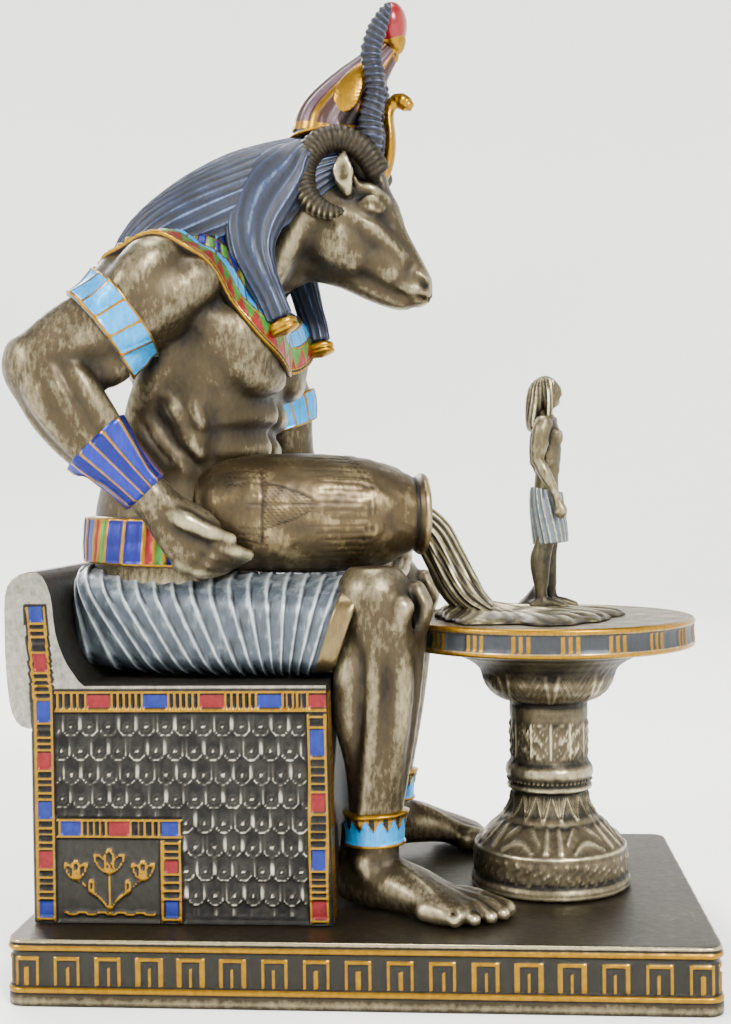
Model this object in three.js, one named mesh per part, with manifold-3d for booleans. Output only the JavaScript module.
// Souvenir statuette of a ram-headed god on a throne, cast in bronze powder and resin and painted by
// hand. He pours wet clay from a jar on to a potter's table, where a small man stands in the pool.
// Millimetres, +Z up. The origin is the centre of the plinth's underside. The god faces +X, and his
// right side, the near one, faces -Y.
import * as THREE from 'three';
import { mergeVertices } from 'three/addons/utils/BufferGeometryUtils.js';
import Module from 'manifold-3d';

const wasm = await Module();
wasm.setup();

// Driving dimensions
const GAP = 0.3;                 // space left between two castings that touch
const PLINTH_LENGTH = 157;
const PLINTH_WIDTH = 100;
const PLINTH_TOP = 14.9;
const PLINTH_CORNER = 4;         // corner radius seen from above
const KEY_PITCH = 9.2;           // spacing of the key motifs in the frieze
const THRONE_HALF_WIDTH = 38.5;
const THRONE_FRONT = -6.6;
const THRONE_BACK = -75;
const SEAT_TOP = 69.3;
const BACKREST_TOP = 95.4;
const BORDER = 5.4;              // width of the framed cells round a side panel
const PANEL_DEPTH = 0.9;         // how far the side panel lies below its border
const SHOULDER_TURN = 15;        // degrees that the chest is turned to the near side
const JAR_BASE = [-41.4, -16, 108.2];
const JAR_MOUTH = [14.2, -3, 107];
const JAR_RADIUS = 14.6;
const TABLE_X = 44;
const TABLE_RADIUS = 36;
const TABLE_TOP = 81.4;
const MAN_HEIGHT = 57;

// Finishes of the six castings
const BRONZE = { color: 0x5f5443, roughness: 0.42, metalness: 0.8 };
const DARK_BRONZE = { color: 0x4a4236, roughness: 0.5, metalness: 0.75 };
const WARM_BRONZE = { color: 0x6e5c43, roughness: 0.4, metalness: 0.8 };
const PALE_BRONZE = { color: 0x8d8069, roughness: 0.42, metalness: 0.75 };

// Tools for shapes

// A closed geometry as a solid, with its faces turned outwards.
function solid(geometry) {
  const bare = geometry.clone();
  bare.deleteAttribute('normal');
  bare.deleteAttribute('uv');
  const merged = mergeVertices(bare, 1e-4);
  const make = (triVerts) => new wasm.Manifold(new wasm.Mesh({
    numProp: 3,
    vertProperties: new Float32Array(merged.attributes.position.array),
    triVerts,
  }));
  const corners = new Uint32Array(merged.index.array);
  const whole = make(corners);
  if (whole.volume() > 0) return whole;
  for (let i = 0; i < corners.length; i += 3) {
    [corners[i], corners[i + 1]] = [corners[i + 1], corners[i]];
  }
  return make(corners);
}

// All the solids of a list joined into one.
function join(solids) {
  return solids.reduce((sum, next) => sum.add(next));
}

// A round or flattened limb. Each station is [x, y, z, half width, half height, turn]. The width lies
// along `sideways`, turned by `turn` degrees about the path, and a `square` above 2 flattens the sides.
// `dome` rounds the two ends, and `fold` adds a swell that depends on the share of the path and the angle.
function limb(stations, shape = {}) {
  const { sides = 10, rows = 6, sideways = [0, 1, 0], dome = 0.5, square = 2, fold = null } = shape;
  const path = new THREE.CatmullRomCurve3(stations.map(([x, y, z]) => new THREE.Vector3(x, y, z)));
  const girth = new THREE.CatmullRomCurve3(
    stations.map(([, , , wide, high = wide, turn = 0]) => new THREE.Vector3(wide, high, turn)));
  const ball = new THREE.SphereGeometry(1, sides, rows + 1);
  const corner = ball.attributes.position;
  const round = (value) => Math.sign(value) * Math.abs(value) ** (2 / square);
  for (let row = 0; row < rows + 2; row++) {
    const isPole = row === 0 || row === rows + 1;
    const swollen = row === 0 ? -dome : row === rows + 1 ? dome : 0;
    const t = Math.min(Math.max((row - 1) / (rows - 1), 0), 1);
    const ahead = path.getTangent(t);
    const size = girth.getPoint(t);
    const side = new THREE.Vector3(...sideways);
    side.addScaledVector(ahead, -side.dot(ahead)).normalize();
    side.applyAxisAngle(ahead, THREE.MathUtils.degToRad(size.z));
    const up = new THREE.Vector3().crossVectors(ahead, side);
    for (let column = 0; column <= sides; column++) {
      const angle = (2 * Math.PI * (column % sides)) / sides;
      const spread = isPole ? 0 : 1;
      const swell = fold ? fold(t, angle) : 0;
      const point = path.getPoint(t)
        .addScaledVector(side, spread * (size.x + swell) * round(Math.cos(angle)))
        .addScaledVector(up, spread * (size.y + swell) * round(Math.sin(angle)))
        .addScaledVector(ahead, swollen * Math.min(size.x, size.y));
      corner.setXYZ(row * (sides + 1) + column, point.x, point.y, point.z);
    }
  }
  return solid(ball);
}

// A turned shape: the profile's [radius, height] points, turned about the line from `foot` to `head`.
function turned(profile, sides, foot = [0, 0, 0], head = [0, 0, 1]) {
  const lathe = new THREE.LatheGeometry(profile.map(([r, h]) => new THREE.Vector2(r, h)), sides);
  const axis = new THREE.Vector3(...head).sub(new THREE.Vector3(...foot)).normalize();
  lathe.applyQuaternion(new THREE.Quaternion().setFromUnitVectors(new THREE.Vector3(0, 1, 0), axis));
  lathe.translate(...foot);
  return solid(lathe);
}

// A block between two corners.
function block([x0, y0, z0], [x1, y1, z1]) {
  const box = new THREE.BoxGeometry(x1 - x0, y1 - y0, z1 - z0);
  box.translate((x0 + x1) / 2, (y0 + y1) / 2, (z0 + z1) / 2);
  return solid(box);
}

// A rounded rectangle on the ground, raised from z0 to z1.
function slab(length, width, radius, z0, z1) {
  const shape = new THREE.Shape();
  const [a, b] = [length / 2, width / 2];
  shape.absarc(a - radius, b - radius, radius, 0, Math.PI / 2);
  shape.absarc(radius - a, b - radius, radius, Math.PI / 2, Math.PI);
  shape.absarc(radius - a, radius - b, radius, Math.PI, 1.5 * Math.PI);
  shape.absarc(a - radius, radius - b, radius, 1.5 * Math.PI, 2 * Math.PI);
  shape.closePath();
  const depth = z1 - z0;
  const raised = new THREE.ExtrudeGeometry(shape, { depth, bevelEnabled: false, curveSegments: 3 });
  raised.translate(0, 0, z0);
  return solid(raised);
}

// An outline of [x, z] points that runs across the object from y0 to y1.
function across(points, y0, y1) {
  const shape = new THREE.Shape(points.map(([x, z]) => new THREE.Vector2(x, z)));
  const prism = new THREE.ExtrudeGeometry(shape, { depth: y1 - y0, bevelEnabled: false });
  prism.rotateX(Math.PI / 2);
  prism.translate(0, y1, 0);
  return solid(prism);
}

// Plinth: a low block with two raised ribs, and a frieze of square keys in the hollow between them. The
// keys are modelled on the near face, and the other three faces keep the plain hollow.
const RIB_LOW = [3.1, 4.5];
const RIB_HIGH = [12.4, 13.7];
const FRIEZE_DEPTH = 1.0;
const KEY_RELIEF = 0.6;

// One key: a square arch, 5.6 wide and 5.2 high, open at its foot.
function key() {
  const [half, bar, foot, head] = [2.8, 1.0, 5.8, 11.0];
  const arch = [
    [-half, foot], [bar - half, foot], [bar - half, head - bar], [half - bar, head - bar],
    [half - bar, foot], [half, foot], [half, head], [-half, head],
  ];
  return across(arch, 0, KEY_RELIEF + 1);
}

function makePlinth() {
  const hollow = [PLINTH_LENGTH - 2 * FRIEZE_DEPTH, PLINTH_WIDTH - 2 * FRIEZE_DEPTH];
  const layers = [
    slab(PLINTH_LENGTH, PLINTH_WIDTH, PLINTH_CORNER, 0, RIB_LOW[1]),
    slab(...hollow, PLINTH_CORNER - FRIEZE_DEPTH, 0, PLINTH_TOP),
    slab(PLINTH_LENGTH - 0.8, PLINTH_WIDTH - 0.8, PLINTH_CORNER, RIB_HIGH[0], PLINTH_TOP),
  ];
  const keys = [];
  const count = Math.round(PLINTH_LENGTH / KEY_PITCH);
  const face = FRIEZE_DEPTH - KEY_RELIEF - PLINTH_WIDTH / 2;
  for (let i = 0; i < count; i++) {
    keys.push(key().translate([(i - (count - 1) / 2) * KEY_PITCH, face, 0]));
  }
  return join([...layers, ...keys]);
}

// Throne: a block with a low back that rolls over at the top, and a framed panel of feathers on each side.
// `ease` grows the outline, for cutting the figure that sits on it.
function throneOutline(ease = 0) {
  const seatBack = -62.7;
  return [
    [THRONE_BACK - ease, PLINTH_TOP + GAP], [THRONE_FRONT + ease, PLINTH_TOP + GAP],
    [THRONE_FRONT - 0.8 + ease, SEAT_TOP + ease], [seatBack + ease, SEAT_TOP + ease],
    [-65.2 + ease, 72.2 + ease], [-67.6 + ease, 76.4], [-69.2 + ease, 81.5],
    [-69.9 + ease, 88], [-71 + ease, 92.2 + ease], [-73.2, BACKREST_TOP + ease],
    [-77, BACKREST_TOP - 0.6 + ease], [-80 - ease, 92.5 + ease], [-81 - ease, 88],
    [-81 - ease, 76], [-80.2 - ease, 66], [-78.6 - ease, 61], [-75.8 - ease, 59.6],
  ];
}

// Overlapping rows of feathers, each row a wedge that stands proud at its lower edge.
function feathers(x0, x1, z0, z1, face, rows) {
  const pitch = (z1 - z0) / rows;
  const wedges = [];
  for (let i = 0; i < rows; i++) {
    const low = z0 + i * pitch + 0.15;
    const shape = new THREE.Shape([
      new THREE.Vector2(-0.5, low), new THREE.Vector2(0.55, low), new THREE.Vector2(0.1, low + pitch - 0.3),
      new THREE.Vector2(-0.5, low + pitch - 0.3),
    ]);
    const wedge = new THREE.ExtrudeGeometry(shape, { depth: x1 - x0, bevelEnabled: false });
    wedge.applyMatrix4(new THREE.Matrix4().makeBasis(
      new THREE.Vector3(0, face, 0), new THREE.Vector3(0, 0, 1), new THREE.Vector3(1, 0, 0)));
    wedge.translate(x0, face * (THRONE_HALF_WIDTH - PANEL_DEPTH), 0);
    wedges.push(solid(wedge));
  }
  return join(wedges);
}

function makeThrone() {
  let body = across(throneOutline(), -THRONE_HALF_WIDTH, THRONE_HALF_WIDTH);
  const left = THRONE_BACK + BORDER;
  const right = THRONE_FRONT - BORDER;
  const top = SEAT_TOP - BORDER - 0.8;
  const inset = { right: -40.5, top: 39.6 };
  const innerRight = inset.right - BORDER;
  const innerTop = inset.top - BORDER;
  const bottom = PLINTH_TOP + 1.2;
  for (const face of [-1, 1]) {
    const outer = face * (THRONE_HALF_WIDTH + 1);
    const inner = face * (THRONE_HALF_WIDTH - PANEL_DEPTH);
    const [y0, y1] = [Math.min(outer, inner), Math.max(outer, inner)];
    body = body
      .subtract(across([[left, inset.top], [inset.right, inset.top], [inset.right, bottom],
        [right, bottom], [right, top], [left, top]], y0, y1))
      .subtract(block([left, y0, bottom], [innerRight, y1, innerTop]));
    body = body
      .add(feathers(left, right, inset.top + 0.2, top, face, 5))
      .add(feathers(inset.right, right, bottom, inset.top - 0.2, face, 5));
    const lines = [
      block([left + 2, y0, bottom + 14.6], [innerRight - 2, y1, bottom + 15.6]),
      block([left + 4.5, y0, bottom + 2], [left + 5.5, y1, bottom + 12.6]),
      block([left + 10, y0, bottom + 2], [left + 11, y1, bottom + 12.6]),
      block([left + 15.5, y0, bottom + 2], [left + 16.5, y1, bottom + 12.6]),
    ];
    const flush = block([left, -THRONE_HALF_WIDTH + 0.3, 0], [right, THRONE_HALF_WIDTH - 0.3, top]);
    body = body.add(join(lines).intersect(flush));
  }
  return body;
}

// Jar: a long-bellied jar that lies across the lap, its mouth turned to the table and filled with clay.
function jarProfile(ease = 0) {
  const long = new THREE.Vector3(...JAR_MOUTH).distanceTo(new THREE.Vector3(...JAR_BASE));
  const r = (share) => JAR_RADIUS * share + ease;
  return [
    [0, -ease], [r(0.56), -ease], [r(0.76), 2], [r(0.9), 7.5], [r(0.98), 16], [r(1), 28],
    [r(0.95), 39.5], [r(0.83), 47.5], [r(0.63), long - 2.8], [r(0.69), long - 1.8], [r(0.69), long + ease],
  ];
}

function makeJar() {
  const long = new THREE.Vector3(...JAR_MOUTH).distanceTo(new THREE.Vector3(...JAR_BASE));
  const bowl = [[0, long - 2.6], [5.6, long - 2.6], [7.6, long]];
  return turned([...jarProfile(), ...bowl.reverse()], 18, JAR_BASE, JAR_MOUTH);
}

// The room that the jar needs, with its gap, for cutting the clay that fills its mouth.
function makeJarMargin() {
  const long = new THREE.Vector3(...JAR_MOUTH).distanceTo(new THREE.Vector3(...JAR_BASE));
  const bowl = [[7.6 - GAP, long + GAP], [5.6 - GAP, long - 2.6 + GAP], [0, long - 2.6 + GAP]];
  return turned([...jarProfile(GAP), ...bowl], 18, JAR_BASE, JAR_MOUTH);
}

// Potter's table: a round top with a plain rim, a leafy bowl, a banded shaft and a flared foot.
function makeTable() {
  const profile = [
    [0, PLINTH_TOP + GAP], [19.4, PLINTH_TOP + GAP], [19.9, 17.6], [18.6, 20.6], [18.2, 24.6],
    [14.2, 28.6], [9.6, 34.2], [9.5, 35.8], [10.4, 36.6], [10.4, 38.2], [9.6, 39.2], [10.6, 41.4],
    [9.5, 44], [9.5, 56.6], [10.6, 58.2], [15.4, 62.4], [16.4, 65.4], [21.8, 70], [23.6, 72.4],
    [TABLE_RADIUS - 0.6, 74.3], [TABLE_RADIUS, 74.6], [TABLE_RADIUS, TABLE_TOP], [0, TABLE_TOP],
  ];
  return turned(profile, 20, [TABLE_X, 0, 0], [TABLE_X, 0, 1]);
}

// The stream of clay, its pool and the small man who stands in it.
const POOL_TOP = TABLE_TOP + 1.7;
const MAN_X = 44.4;

// The pool: a flat run of clay with uneven lobes round its edge.
function makePool() {
  const outline = new THREE.Shape();
  const steps = 16;
  for (let i = 0; i < steps; i++) {
    const angle = (2 * Math.PI * i) / steps;
    const lobes = 1 + 0.07 * Math.sin(5 * angle + 1) + 0.05 * Math.sin(8 * angle);
    const point = [38.5 + 23 * lobes * Math.cos(angle), -2 + 26 * lobes * Math.sin(angle)];
    if (i === 0) outline.moveTo(...point);
    else outline.lineTo(...point);
  }
  outline.closePath();
  const half = 0.7;
  const flat = new THREE.ExtrudeGeometry(outline, {
    depth: half, bevelThickness: half, bevelSize: 1.2, bevelOffset: -1.2, bevelSegments: 1,
  });
  flat.translate(0, 0, TABLE_TOP + GAP + half);
  return solid(flat);
}

function makeStream() {
  const pour = limb([
    [12.2, -3, 105, 6.4, 4.6], [16, -2.8, 101.6, 6, 5], [18.8, -2.4, 96, 5.6, 5],
    [21.4, -2, 90.2, 6.4, 5.2], [24.4, -1.6, 85.4, 9, 6], [30, -1.2, 82.4, 12, 3.4],
  ], { sides: 8, rows: 6 });
  const [x, y, z] = JAR_MOUTH;
  const fill = turned([[0, 0], [5, 0], [7, 2.5], [0, 2.5]], 10, [x - 2, y - 0.5, z], [x + 1, y, z]);
  return join([pour, fill, makePool()]);
}

function makeMan() {
  const at = (share) => POOL_TOP + 1 + MAN_HEIGHT * share;
  const x = MAN_X;
  const leg = (y, foot) => limb([
    [x - 0.5 + foot, y * 0.8, at(0), 1.9, 2.2], [x - 1.4 + foot * 0.7, y * 0.85, at(0.18), 2.3, 2.6],
    [x - 0.6 + foot * 0.3, y * 0.9, at(0.3), 2.2, 2.4], [x, y, at(0.42), 3.1, 3.4],
  ], { sides: 4, rows: 4 });
  const foot = (y, shift) => limb([
    [x - 2.4 + shift, y * 0.8, at(0), 1.6, 1.5], [x + 5 + shift, y * 0.95, at(-0.01), 2, 1.1],
  ], { sides: 4, rows: 2 });
  const arm = (y) => limb([
    [x - 1.6, y * 0.82, at(0.79), 2.3, 2.5], [x - 2.6, y * 1.1, at(0.66), 1.8, 1.9],
    [x + 0.2, y * 1.1, at(0.52), 1.6, 1.6], [x + 3.2, y, at(0.41), 1.6, 1.8],
  ], { sides: 4, rows: 4 });
  const torso = limb([
    [x - 0.4, 0, at(0.45), 4.2, 3.8], [x, 0, at(0.58), 3.9, 3.4],
    [x + 0.4, 0, at(0.68), 5.2, 4.1], [x - 0.2, 0, at(0.77), 5.9, 4], [x - 0.8, 0, at(0.83), 3.4, 2.6],
  ], { sides: 6, rows: 5 });
  const kilt = limb([[x + 0.6, 0, at(0.275), 5.2, 4.6], [x - 0.2, 0, at(0.5), 4.4, 4.1]],
    { sides: 8, rows: 2, dome: 0 });
  const head = limb([
    [x - 0.4, 0, at(0.84), 2.2, 2.2], [x + 0.8, 0, at(0.89), 2.8, 3.3], [x + 0.4, 0, at(0.95), 3.1, 3.8],
    [x - 0.2, 0, at(0.985), 1.9, 2.2],
  ], { sides: 6, rows: 4 });
  const hair = limb([
    [x - 3.4, 0, at(0.79), 3.6, 2.2], [x - 3, 0, at(0.86), 4, 2.6], [x - 1.6, 0, at(0.93), 4, 3.4],
    [x - 0.6, 0, at(0.985), 2.6, 2.8],
  ], { sides: 6, rows: 4 });
  const mound = limb([
    [x - 6.5, 1.5, POOL_TOP - 0.9, 5, 1.2], [x - 3.6, 1.5, POOL_TOP + 1, 4.6, 1.7],
    [x - 1, 1.2, POOL_TOP - 0.4, 3, 1],
  ], { sides: 6, rows: 4 });
  return join([leg(-3.2, -1.5), leg(3.2, 2), foot(-3.2, -1.5), foot(3.2, 2), arm(-6), arm(6), torso, kilt,
    head, hair, mound]);
}

// The seated god, one casting from the feet to the horns.

// A point of the turned chest: `front` and `side` are measured along and across the way it faces.
function chest(front, side, height) {
  const turn = THREE.MathUtils.degToRad(SHOULDER_TURN);
  return [-38.5 + front * Math.cos(turn) + side * Math.sin(turn),
    -front * Math.sin(turn) + side * Math.cos(turn), height];
}

// The trunk from the seat to the neck. `ease` grows the chest, for the collar that lies on it.
function makeTrunk(ease = 0) {
  const turn = -SHOULDER_TURN;
  const trunk = limb([
    [-46, 0, 72, 25, 17, 0], [-48, 0, 84, 28, 20, 0], [-49, 0, 97, 27, 21.4, 0],
    [-48.8, 0, 107, 25, 21.6, turn * 0.2], [-47.2, 0, 119, 24.4 + ease, 20.4 + ease, turn * 0.5],
    [-41.8, 0, 133, 27.5 + ease, 20 + ease, turn * 0.85],
    [-38.6, 0, 148, 30.5 + ease, 20.6 + ease, turn], [-39.4, 0, 160, 29 + ease, 18 + ease, turn],
    [-40, 0, 169, 23 + ease, 14.5 + ease, turn], [-38, 0, 177, 13, 12, turn],
  ], { sides: 11, rows: 7, square: 2.3 });
  const breast = (side, back) => limb([
    [...chest(10 - back, side * 24, 152), 5 + ease, 5 + ease],
    [...chest(15.5 - back, side * 15, 147.5), 12 + ease, 7.4 + ease],
    [...chest(17.5 - back * 0.7, side * 5, 146), 11 + ease, 5 + ease],
  ], { sides: 7, rows: 3, sideways: [0, 0, 1] });
  return join([trunk, breast(-1, 0), breast(1, 3.6)]);
}

// A band that goes round a limb, between two of the limb's own stations, and stands `grow` proud of it.
function band(stations, grow) {
  const grown = stations.map(([x, y, z, wide, high]) => [x, y, z, wide + grow, high + grow]);
  return limb(grown, { sides: 10, rows: 2, dome: 0 });
}

function makeNearArm() {
  const upper = limb([
    [-45.5, -25, 164, 9, 9], [-47.5, -29.5, 160, 12.8, 12.4], [-54, -32.2, 154.5, 11.8, 11.6],
    [-63, -35.4, 149, 10.4, 10], [-71.8, -38, 143.4, 8.6, 8.6],
  ], { sides: 8, rows: 5 });
  const fore = limb([
    [-74, -38.4, 144, 7, 7], [-72.4, -38, 140.6, 8.6, 8.6], [-66.5, -36.6, 133.6, 9.4, 9],
    [-59.5, -35, 125, 8, 7.6], [-51.5, -33.4, 116, 6, 5.6], [-46, -32.2, 110, 4.8, 5.2],
  ], { sides: 8, rows: 5 });
  const armlet = band([[-52.6, -31.8, 155.6, 11.9, 11.8], [-58.6, -34, 151.6, 11.2, 10.8]], 1);
  const cuff = band([[-60, -35.2, 125.6, 8.4, 7.8], [-48.4, -32.8, 112.6, 5.6, 5.6]], 1);
  return join([upper, fore, armlet, cuff]);
}

function makeFarArm() {
  const upper = limb([
    [-37, 25, 165, 9, 9], [-36.2, 29.6, 160, 12, 11.2], [-33.4, 33.4, 148, 11, 10.2],
    [-27.8, 35.6, 134, 9.6, 9.2], [-25.4, 37, 121.5, 8.4, 8.4],
  ], { sides: 8, rows: 5 });
  const fore = limb([
    [-26, 37, 122, 7.6, 7.6], [-22.6, 36.4, 115, 8.6, 8.4], [-13, 31.5, 106.4, 7.6, 7.2],
    [-3.4, 24.5, 99.8, 5.4, 5],
  ], { sides: 8, rows: 5 });
  const armlet = band([[-28.6, 34.6, 138, 10, 9.6], [-26.6, 36, 130, 9.2, 9]], 1);
  const cuff = band([[-15.8, 33.4, 109, 8, 7.8], [-5.8, 26.6, 101.4, 5.8, 5.4]], 0.9);
  return join([upper, fore, armlet, cuff]);
}

// A hand: a flat palm, four fingers that start side by side across it, and a thumb.
function makeHand({ palm, fingers, thumb, sideways }) {
  const parts = [limb(palm, { sides: 6, rows: 4, sideways, square: 2.6 })];
  for (const finger of [...fingers, thumb]) {
    parts.push(limb(finger, { sides: 4, rows: 3, sideways, dome: 0.7 }));
  }
  return join(parts);
}

function makeNearHand() {
  const palm = [
    [-46.6, -32.4, 110.6, 4.8, 4.4], [-43.4, -32.2, 107, 6.4, 3.8], [-39.4, -31.8, 103.2, 7.6, 3.2],
    [-36.6, -31, 101, 7.2, 2.8],
  ];
  const fingers = [0, 1, 2, 3].map((i) => [
    [-36.2 - i * 1.7, -31, 104.2 - i * 3, 2.3, 2.2],
    [-32.6 - i * 1.5, -31.2 + i * 0.4, 100.4 - i * 2.4, 2.1, 2.1],
    [-29 - i * 1.3, -29.4 + i * 1.2, 98.6 - i * 1.6, 1.9, 1.8],
    [-26.4 - i * 1.2, -26.6 + i * 1.8, 97.6 - i * 0.6, 1.4, 1.4],
  ]);
  const thumb = [
    [-43.4, -34, 108.6, 2.8, 2.6], [-39, -35, 106.4, 2.6, 2.4], [-34, -33.4, 103.8, 2.1, 2],
    [-29.8, -30.6, 102, 1.6, 1.5],
  ];
  return makeHand({ palm, fingers, thumb, sideways: [0.5, 0, 0.87] });
}

function makeFarHand() {
  const palm = [
    [-2.6, 25.4, 100.4, 4.8, 4.2], [1.4, 21, 98, 6, 3.6], [4.2, 16.6, 95.4, 6.8, 3],
  ];
  const fingers = [0, 1, 2, 3].map((i) => [
    [7.6 - i * 3.1, 16, 95.8, 2.1, 2], [7.4 - i * 2.9, 11.4, 92.6, 2, 1.9],
    [6.6 - i * 2.7, 6.6, 90.9, 1.9, 1.7], [5.8 - i * 2.6, 2.6, 90.4, 1.3, 1.2],
  ]);
  const thumb = [
    [0.6, 23.6, 101, 2.8, 2.5], [5, 20, 102, 2.5, 2.3], [8, 15.8, 102.4, 2, 1.9],
    [9.4, 12.2, 102.6, 1.5, 1.4],
  ];
  return makeHand({ palm, fingers, thumb, sideways: [1, 0, 0.1] });
}

// A leg below the kilt. `side` is -1 for the near one, `lift` raises the back of the foot.
function makeLeg(side, spread, toeOut, lift) {
  const y = side * spread;
  const shin = limb([
    [2.6, y, 86, 10.4, 9.6], [4.6, y, 79, 10.4, 10], [5.2, y, 71, 8.8, 8.9], [4.2, y, 60, 9.2, 8.7],
    [3, y, 50, 8.6, 8.3], [2, y, 40, 6.9, 7], [2, y, 31, 5.9, 6.4], [1.4, y, 22, 6, 7.4],
  ], { sides: 7, rows: 7, sideways: [0, 1, 0] });
  const cap = limb([
    [12.4, y, 89.6, 3, 3.4], [14, y, 84, 4.6, 3], [12.4, y, 78, 3, 3],
  ], { sides: 5, rows: 2 });
  const anklet = limb([[2, y, 37.6, 8, 7.9], [2.2, y, 29.6, 7.4, 7.5]], { sides: 10, rows: 2, dome: 0 });
  const turn = THREE.MathUtils.degToRad(toeOut);
  const [cos, sin] = [Math.cos(turn), Math.sin(turn)];
  const foot = (ahead, out, height) => [
    1 + ahead * cos - out * sin, y + side * (ahead * sin + out * cos), height,
  ];
  const sole = limb([
    [...foot(-4.4, 0, 19.6), 4.4, 4.6], [...foot(0, 0, 20.6 + lift), 5.8, 6.6],
    [...foot(9, 0.4, 20.4 + lift), 6.4, 6], [...foot(18, 1, 18.8 + lift), 7.8, 4.4],
    [...foot(25, 0.8, 17.4), 8.2, 3 + lift],
  ], { sides: 6, rows: 5, sideways: [0, 1, 0] });
  const toes = [[33.2, -6, 2.7], [33.8, -2.3, 2.2], [32.2, 1.2, 2.1], [29.6, 4.6, 2], [26.2, 7.6, 1.9]];
  const toeLimbs = toes.map(([reach, out, size]) => limb([
    [...foot(reach - 9, out * 0.9, 17.8), size, size],
    [...foot(reach - 1.4, out, 16.9), size * 0.9, size * 0.8],
  ], { sides: 4, rows: 2, sideways: [0, 1, 0], dome: 0.6 }));
  return join([shin, cap, anklet, sole, ...toeLimbs]);
}

// Kilt: one pleated cloth over both thighs, from the belt to the knees, with a turned hem.
function makeKilt() {
  const pleats = 7;
  const valley = Math.PI / 2;
  const shape = (t, angle) => {
    const pleat = t > 0.02 && t < 0.97 ? 0.5 * Math.cos(2 * Math.PI * pleats * t) : 0;
    return pleat - 6 * t * Math.exp(-(((angle - valley) / 0.45) ** 2));
  };
  return limb([
    [-67, 0, 83, 24, 12.4], [-50, 0, 82.6, 31, 13.6], [-34, 0, 81.8, 32.4, 13], [-16, 0, 81.6, 33, 12.7],
    [-4, 0, 81.2, 33.4, 12.3], [2.5, 0, 81.4, 33.4, 11.4],
  ], { sides: 10, rows: 2 * pleats + 1, dome: 0.1, square: 3, fold: shape });
}

function makeBelt() {
  return limb([[-48.8, 0, 95.4, 28.2, 22.2], [-48.2, 0, 107.4, 26.2, 21.2, -5]],
    { sides: 16, rows: 2, dome: 0, square: 2.3 });
}

// Broad collar: the chest grown by its thickness, kept inside a tilted disc round the neck.
function makeCollar() {
  const disc = limb([[-32, -2, 140, 25.5, 23.5], [-41.5, 1, 181, 25, 21]],
    { sides: 12, rows: 2, dome: 0, sideways: [0, 1, 0] });
  const lowerEdge = [[-90, 150], [-67, 170], [-34, 156], [-17, 139], [10, 139]];
  const above = across([...lowerEdge, [10, 190], [-90, 190]], -60, 60);
  return makeTrunk(1.1).intersect(disc).intersect(above);
}

// The ram's head on its neck, with an ear and an eye on each side.
function makeHead() {
  const neck = limb([
    [-40, 0, 164, 14, 13], [-31, 0, 171.5, 12.4, 13.4], [-20, 0, 177, 11, 13.6], [-10, 0, 180, 10, 13],
  ], { sides: 9, rows: 4 });
  const skull = limb([
    [-13, 0, 187, 9, 12], [-3.9, 0, 178.2, 10.6, 15], [1.75, 0, 172.2, 8.4, 10.2], [7.6, 0, 166.9, 6, 7.5],
    [12.1, 0, 162.1, 5, 5], [14.4, 0, 160.6, 3.6, 3],
  ], { sides: 9, rows: 7, dome: 0.4 });
  const parts = [neck, skull];
  for (const side of [-1, 1]) {
    parts.push(limb([
      [-3.9, side * 12.4, 194.6, 0.8, 0.5], [-4.1, side * 13.4, 191.6, 2.6, 1.1],
      [-4, side * 12.8, 188, 2.4, 1.4], [-3.6, side * 9.6, 185, 1.4, 1.4],
    ], { sides: 4, rows: 3, sideways: [1, 0, 0] }));
    parts.push(limb([
      [5.6, side * 5.4, 183.4, 1.6, 1.6], [2.6, side * 8.9, 182.8, 2.6, 2.2], [-1, side * 8.6, 181, 1.4, 1.4],
    ], { sides: 4, rows: 2 }));
  }
  return join(parts);
}

// The curled horns lie against the cheeks, and the tall wavy pair rises side by side from the brow.
function makeHorns() {
  const parts = [];
  for (const side of [-1, 1]) {
    const curl = [
      [4, 6.4, 190.6, 3.3], [0, 8.8, 195.9, 3.1], [-4.7, 9.8, 199.2, 3], [-9.8, 10.6, 198.6, 2.9],
      [-14.2, 11.8, 193.6, 2.7], [-14.4, 13, 187.6, 2.5], [-11.6, 14, 182.2, 2.2], [-7.6, 14.6, 179.8, 1.7],
      [-4, 15, 180.2, 0.8],
    ].map(([x, y, z, r]) => [x, side * y, z, r]);
    const tall = [
      [1.8, 6.4, 199, 3.6], [2, 7, 204.2, 2.9], [3, 7.6, 207.8, 2.6], [3.6, 8, 211.3, 2.5],
      [3.2, 8.4, 214.9, 2.6], [2.4, 8.6, 220.2, 2.6], [4.3, 8.4, 225.5, 2.4], [5.8, 8.2, 228.5, 1.8],
      [7.6, 8, 231.6, 0.6],
    ].map(([x, y, z, r]) => [x, side * y, z, r]);
    parts.push(limb(curl, { sides: 5, rows: 9, sideways: [0, 1, 0] }));
    parts.push(limb(tall, { sides: 5, rows: 8, sideways: [1, 0, 0] }));
  }
  return join(parts);
}

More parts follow.
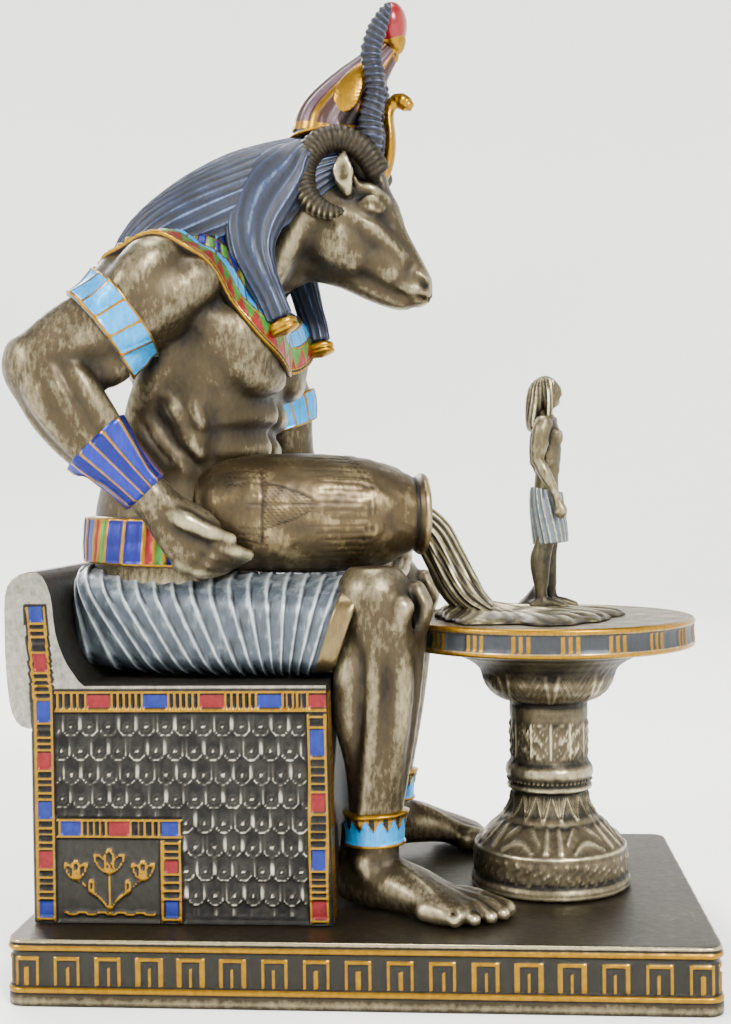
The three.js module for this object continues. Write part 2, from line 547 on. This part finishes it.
// Striped wig: a mass that falls from the brow to the shoulders, and two lappets in front.
function makeWig() {
  const mass = limb([
    [-3, 0, 194, 9, 8], [-14, 0, 191, 14, 11.8], [-26, 0, 185, 17.4, 15], [-38, 0, 179.4, 20, 14.6],
    [-48, 0, 174.6, 20, 12.4], [-54.5, 0, 169.4, 17, 10.4], [-58.4, 0, 162.4, 13, 6],
  ], { sides: 10, rows: 7, square: 2.2 });
  const flat = { sides: 5, rows: 4, sideways: [1, 0, 0.2], square: 2.6 };
  const near = limb([
    [-20, -11, 190, 5, 4], [-25, -15, 182, 5, 4], [-27, -17.6, 172, 3.9, 2.6], [-24.4, -17.8, 162, 3.1, 2.2],
    [-21.6, -17, 153.6, 2.7, 2],
  ], flat);
  const far = limb([
    [-16, 11, 190, 5, 4], [-18, 14, 181, 5, 4], [-19, 15.6, 171, 4, 3], [-17.2, 14.6, 161, 3.2, 2.4],
    [-15.6, 13.6, 152, 2.7, 2.2],
  ], flat);
  const cap = (x, y, z) => limb([[x - 0.5, y, z + 2.6, 3.2, 2.6], [x + 0.3, y, z - 1.6, 3.4, 2.8]],
    { sides: 6, rows: 2, dome: 0.4 });
  return join([mass, near, far, cap(-21.2, -16.8, 151.6), cap(-15.4, 13.4, 150.2)]);
}

// Crown: a bundle of stalks bound at the foot, with a leaf, a cup, a sun disc and a rearing cobra.
function makeCrown() {
  const bundle = limb([
    [-9, 0, 200, 9.6, 10], [-7.4, 0, 205.6, 9, 9.4], [-3.2, 0, 212, 7, 7.4], [1.2, 0, 217.6, 5.2, 5.2],
    [5.4, 0, 221.6, 3.4, 3.2], [7.6, 0, 224, 4.2, 2.6],
  ], { sides: 8, rows: 6 });
  const foot = limb([
    [-9.8, 0, 201.4, 11, 10.6], [-8.8, 0, 204.2, 10.6, 10.2],
  ], { sides: 8, rows: 2, dome: 0 });
  const disc = limb([
    [3.2, 0, 229.2, 3, 3], [5.2, 0, 229.2, 5.6, 5.8], [8.4, 0, 229.2, 5.6, 5.8], [10.6, 0, 229.2, 3, 3],
  ], { sides: 8, rows: 4, dome: 0.3 });
  const cobra = limb([
    [3.4, 0, 189, 1.6, 1.6], [6.6, 0, 197.4, 1.5, 1.4], [7.2, 0, 204, 1.9, 1.5], [6.8, 0, 208.8, 1.8, 1.4],
    [9, 0, 210.4, 1.6, 1.4], [11, 0, 209.2, 1.4, 1.2], [11.2, 0, 207.6, 0.9, 0.8],
  ], { sides: 4, rows: 7 });
  return join([bundle, foot, disc, cobra]);
}

// All of the figure, cut clear of what it sits, stands and leans on.
function makeGod() {
  const whole = join([
    makeTrunk(), makeCollar(), makeBelt(), makeKilt(), makeLeg(-1, 23, 22, 0), makeLeg(1, 25, 20, 2.6),
    makeNearArm(), makeFarArm(), makeNearHand(), makeFarHand(), makeHead(), makeWig(), makeHorns(),
    makeCrown(),
  ]);
  const seat = across(throneOutline(GAP), -THRONE_HALF_WIDTH - GAP, THRONE_HALF_WIDTH + GAP);
  const ground = block([-90, -60, 0], [90, 60, PLINTH_TOP + GAP]);
  const tableRoom = [
    [0, 10], [20.3, 10], [20.3, 21], [12, 40], [12, 66], [TABLE_RADIUS + GAP, 70],
    [TABLE_RADIUS + GAP, TABLE_TOP + GAP], [0, TABLE_TOP + GAP],
  ];
  const table = turned(tableRoom, 20, [TABLE_X, 0, 0], [TABLE_X, 0, 1]);
  const jar = turned([...jarProfile(GAP), [0, 60]], 18, JAR_BASE, JAR_MOUTH);
  return [seat, ground, table, jar].reduce((rest, cutter) => rest.subtract(cutter), whole);
}

// The object, as it stands
const model = new THREE.Group();

// The largest closed body of a solid, as a mesh of its own.
function addPart(name, whole, finish) {
  const body = whole.decompose().reduce((a, b) => (a.volume() > b.volume() ? a : b));
  const { vertProperties, triVerts } = body.getMesh();
  const geometry = new THREE.BufferGeometry();
  geometry.setAttribute('position', new THREE.BufferAttribute(new Float32Array(vertProperties), 3));
  geometry.setIndex(new THREE.BufferAttribute(new Uint32Array(triVerts), 1));
  geometry.computeVertexNormals();
  const mesh = new THREE.Mesh(geometry, new THREE.MeshStandardMaterial(finish));
  mesh.name = name;
  model.add(mesh);
}

const tableMargin = block([0, -50, 50], [100, 50, TABLE_TOP + GAP]);
const clay = join([makeStream(), makeMan()]).subtract(makeJarMargin()).subtract(tableMargin);

addPart('plinth', makePlinth(), DARK_BRONZE);
addPart('throne', makeThrone(), DARK_BRONZE);
addPart('seated_god', makeGod(), BRONZE);
addPart('jar', makeJar(), WARM_BRONZE);
addPart('pedestal_table', makeTable(), BRONZE);
addPart('stream_with_man', clay, PALE_BRONZE);

export default model;
